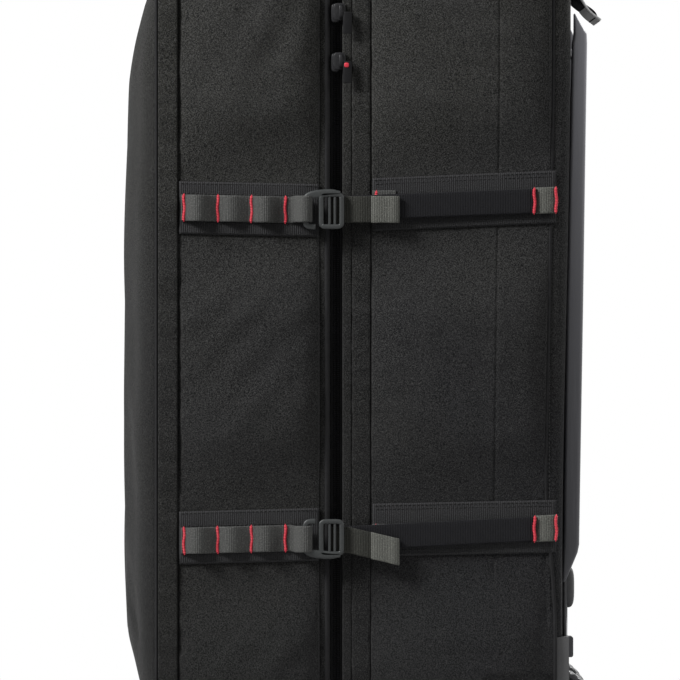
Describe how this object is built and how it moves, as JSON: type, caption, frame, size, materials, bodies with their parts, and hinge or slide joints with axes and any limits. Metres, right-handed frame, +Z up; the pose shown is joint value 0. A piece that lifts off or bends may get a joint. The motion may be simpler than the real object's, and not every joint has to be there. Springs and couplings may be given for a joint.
{
  "type": "snowboard bag",
  "caption": "Long wheeled padded bag that opens like a book along a side zip, with strap-and-hook compression straps, a domed front pocket, skid rails and two wheels.",
  "frame": {"origin": "on the floor under the middle of the bag's bounding box, the bag standing on its wheels and feet", "axes": "+Z up along the bag's length, +Y towards the back with the skid rails, +X towards the side with the compression straps"},
  "size_m": [0.377, 0.3615, 1.6463],
  "materials": {
    "shell_fabric": "dense woven polyester over foam, matt, with a fine heather",
    "pocket_fabric": "dense woven polyester, matt",
    "band_fabric": "sewn webbing band, fine ribs",
    "webbing": "black ribbed webbing",
    "webbing_grey": "grey heather webbing",
    "lining": "plain lining cloth",
    "zip_plastic": "zip tape and coil",
    "hook_metal": "dark grey lacquer, satin",
    "zip_metal": "dark lacquer, satin",
    "rail_plastic": "moulded plastic, satin, scuffed",
    "housing_plastic": "moulded plastic, fine grain",
    "tyre_rubber": "urethane tread",
    "hub_plastic": "moulded hub",
    "steel": "turned steel",
    "stiffener": "sheet plastic",
    "foot_rubber": "moulded rubber",
    "label_cloth": "plain white woven label, blank"
  },
  "bodies": {
    "back_half": {"back_shell": "shell_fabric", "back_stiffener": "stiffener", "board_straps": "webbing", "board_buckles": "hub_plastic", "zip_tape_back": "zip_plastic", "hinge_fabric_back": "lining", "bands_back": "band_fabric", "strap_anchors": "webbing_grey", "skid_rail_left": "rail_plastic", "skid_rail_right": "rail_plastic", "rail_rivets": "steel", "rail_end_lugs": "housing_plastic", "corner_bumpers": "housing_plastic", "wheel_housing": "housing_plastic", "axle_left": "steel", "axle_right": "steel", "side_handle_anchors": "webbing", "grab_anchors": "webbing", "rear_loop": "webbing", "rear_loop_label": "label_cloth", "middle_feet": "foot_rubber"},
    "front_half": {"front_shell": "shell_fabric", "zip_tape_front": "zip_plastic", "hinge_fabric_front": "lining", "bands_front": "band_fabric", "daisy_webbing": "webbing_grey", "far_handle": "webbing", "front_feet": "foot_rubber"},
    "pocket_flap": {"pocket_panel": "pocket_fabric"},
    "side_grip": {"side_handle": "webbing"},
    "nose_grip": {"grab_handle": "webbing"},
    "strap_set_1": {"strap_1": "webbing", "hook_1": "hook_metal", "strap_tail_1": "webbing_grey"},
    "strap_set_2": {"strap_2": "webbing", "hook_2": "hook_metal", "strap_tail_2": "webbing_grey"},
    "strap_set_3": {"strap_3": "webbing", "hook_3": "hook_metal", "strap_tail_3": "webbing_grey"},
    "strap_set_4": {"strap_4": "webbing", "hook_4": "hook_metal", "strap_tail_4": "webbing_grey"},
    "slider_1": {"zip_slider_1": "zip_metal"},
    "pull_1": {"zip_pull_1": "zip_plastic"},
    "slider_2": {"zip_slider_2": "zip_metal"},
    "pull_2": {"zip_pull_2": "zip_plastic"},
    "wheel_left": {"tyre_left": "tyre_rubber", "wheel_hub_left": "hub_plastic", "wheel_bearings_left": "steel"},
    "wheel_right": {"tyre_right": "tyre_rubber", "wheel_hub_right": "hub_plastic", "wheel_bearings_right": "steel"}
  },
  "joints": [
    {"name": "front_half_hinge", "type": "hinge", "parent": "back_half", "child": "front_half", "pos_m": [-0.178, -0.0205, 0.812], "axis": [0, 0, -1], "range_deg": [0, 165]},
    {"name": "pocket_flap_hinge", "type": "hinge", "parent": "front_half", "child": "pocket_flap", "pos_m": [-0.163, -0.1553, 0.312], "axis": [0, 0, -1], "range_deg": [0, 90]},
    {"name": "strap_hinge_1", "type": "hinge", "parent": "back_half", "child": "strap_set_1", "pos_m": [0.1855, 0.128, 0.1665], "axis": [0, 0, 1], "range_deg": [0, 150]},
    {"name": "strap_hinge_2", "type": "hinge", "parent": "back_half", "child": "strap_set_2", "pos_m": [0.1855, 0.128, 0.414], "axis": [0, 0, 1], "range_deg": [0, 150]},
    {"name": "strap_hinge_3", "type": "hinge", "parent": "back_half", "child": "strap_set_3", "pos_m": [0.1855, 0.128, 0.96], "axis": [0, 0, 1], "range_deg": [0, 150]},
    {"name": "strap_hinge_4", "type": "hinge", "parent": "back_half", "child": "strap_set_4", "pos_m": [0.1855, 0.128, 1.38], "axis": [0, 0, 1], "range_deg": [0, 150]},
    {"name": "zip_slide_1", "type": "slide", "parent": "back_half", "child": "slider_1", "axis": [0, 0, 1], "range_m": [-0.44, 0]},
    {"name": "zip_slide_2", "type": "slide", "parent": "back_half", "child": "slider_2", "axis": [0, 0, 1], "range_m": [0, 0.96]},
    {"name": "zip_pull_hinge_1", "type": "hinge", "parent": "slider_1", "child": "pull_1", "pos_m": [0.1821, -0.01225, 0.524], "axis": [0, -1, 0], "range_deg": [0, 160]},
    {"name": "zip_pull_hinge_2", "type": "hinge", "parent": "slider_2", "child": "pull_2", "pos_m": [0.1821, -0.01225, 0.561], "axis": [0, -1, 0], "range_deg": [0, 160]},
    {"name": "wheel_spin_left", "type": "hinge", "parent": "back_half", "child": "wheel_left", "pos_m": [-0.152, 0.1405, 0.0352], "axis": [1, 0, 0], "continuous": true},
    {"name": "wheel_spin_right", "type": "hinge", "parent": "back_half", "child": "wheel_right", "pos_m": [0.152, 0.1405, 0.0352], "axis": [1, 0, 0], "continuous": true},
    {"name": "side_handle_hinge", "type": "hinge", "parent": "back_half", "child": "side_grip", "pos_m": [0.1803, 0.051, 0.705], "axis": [0, 0, -1], "range_deg": [0, 90]},
    {"name": "grab_handle_hinge", "type": "hinge", "parent": "back_half", "child": "nose_grip", "pos_m": [0, 0.07, 1.6043], "axis": [1, 0, 0], "range_deg": [-85, 85]}
  ]
}
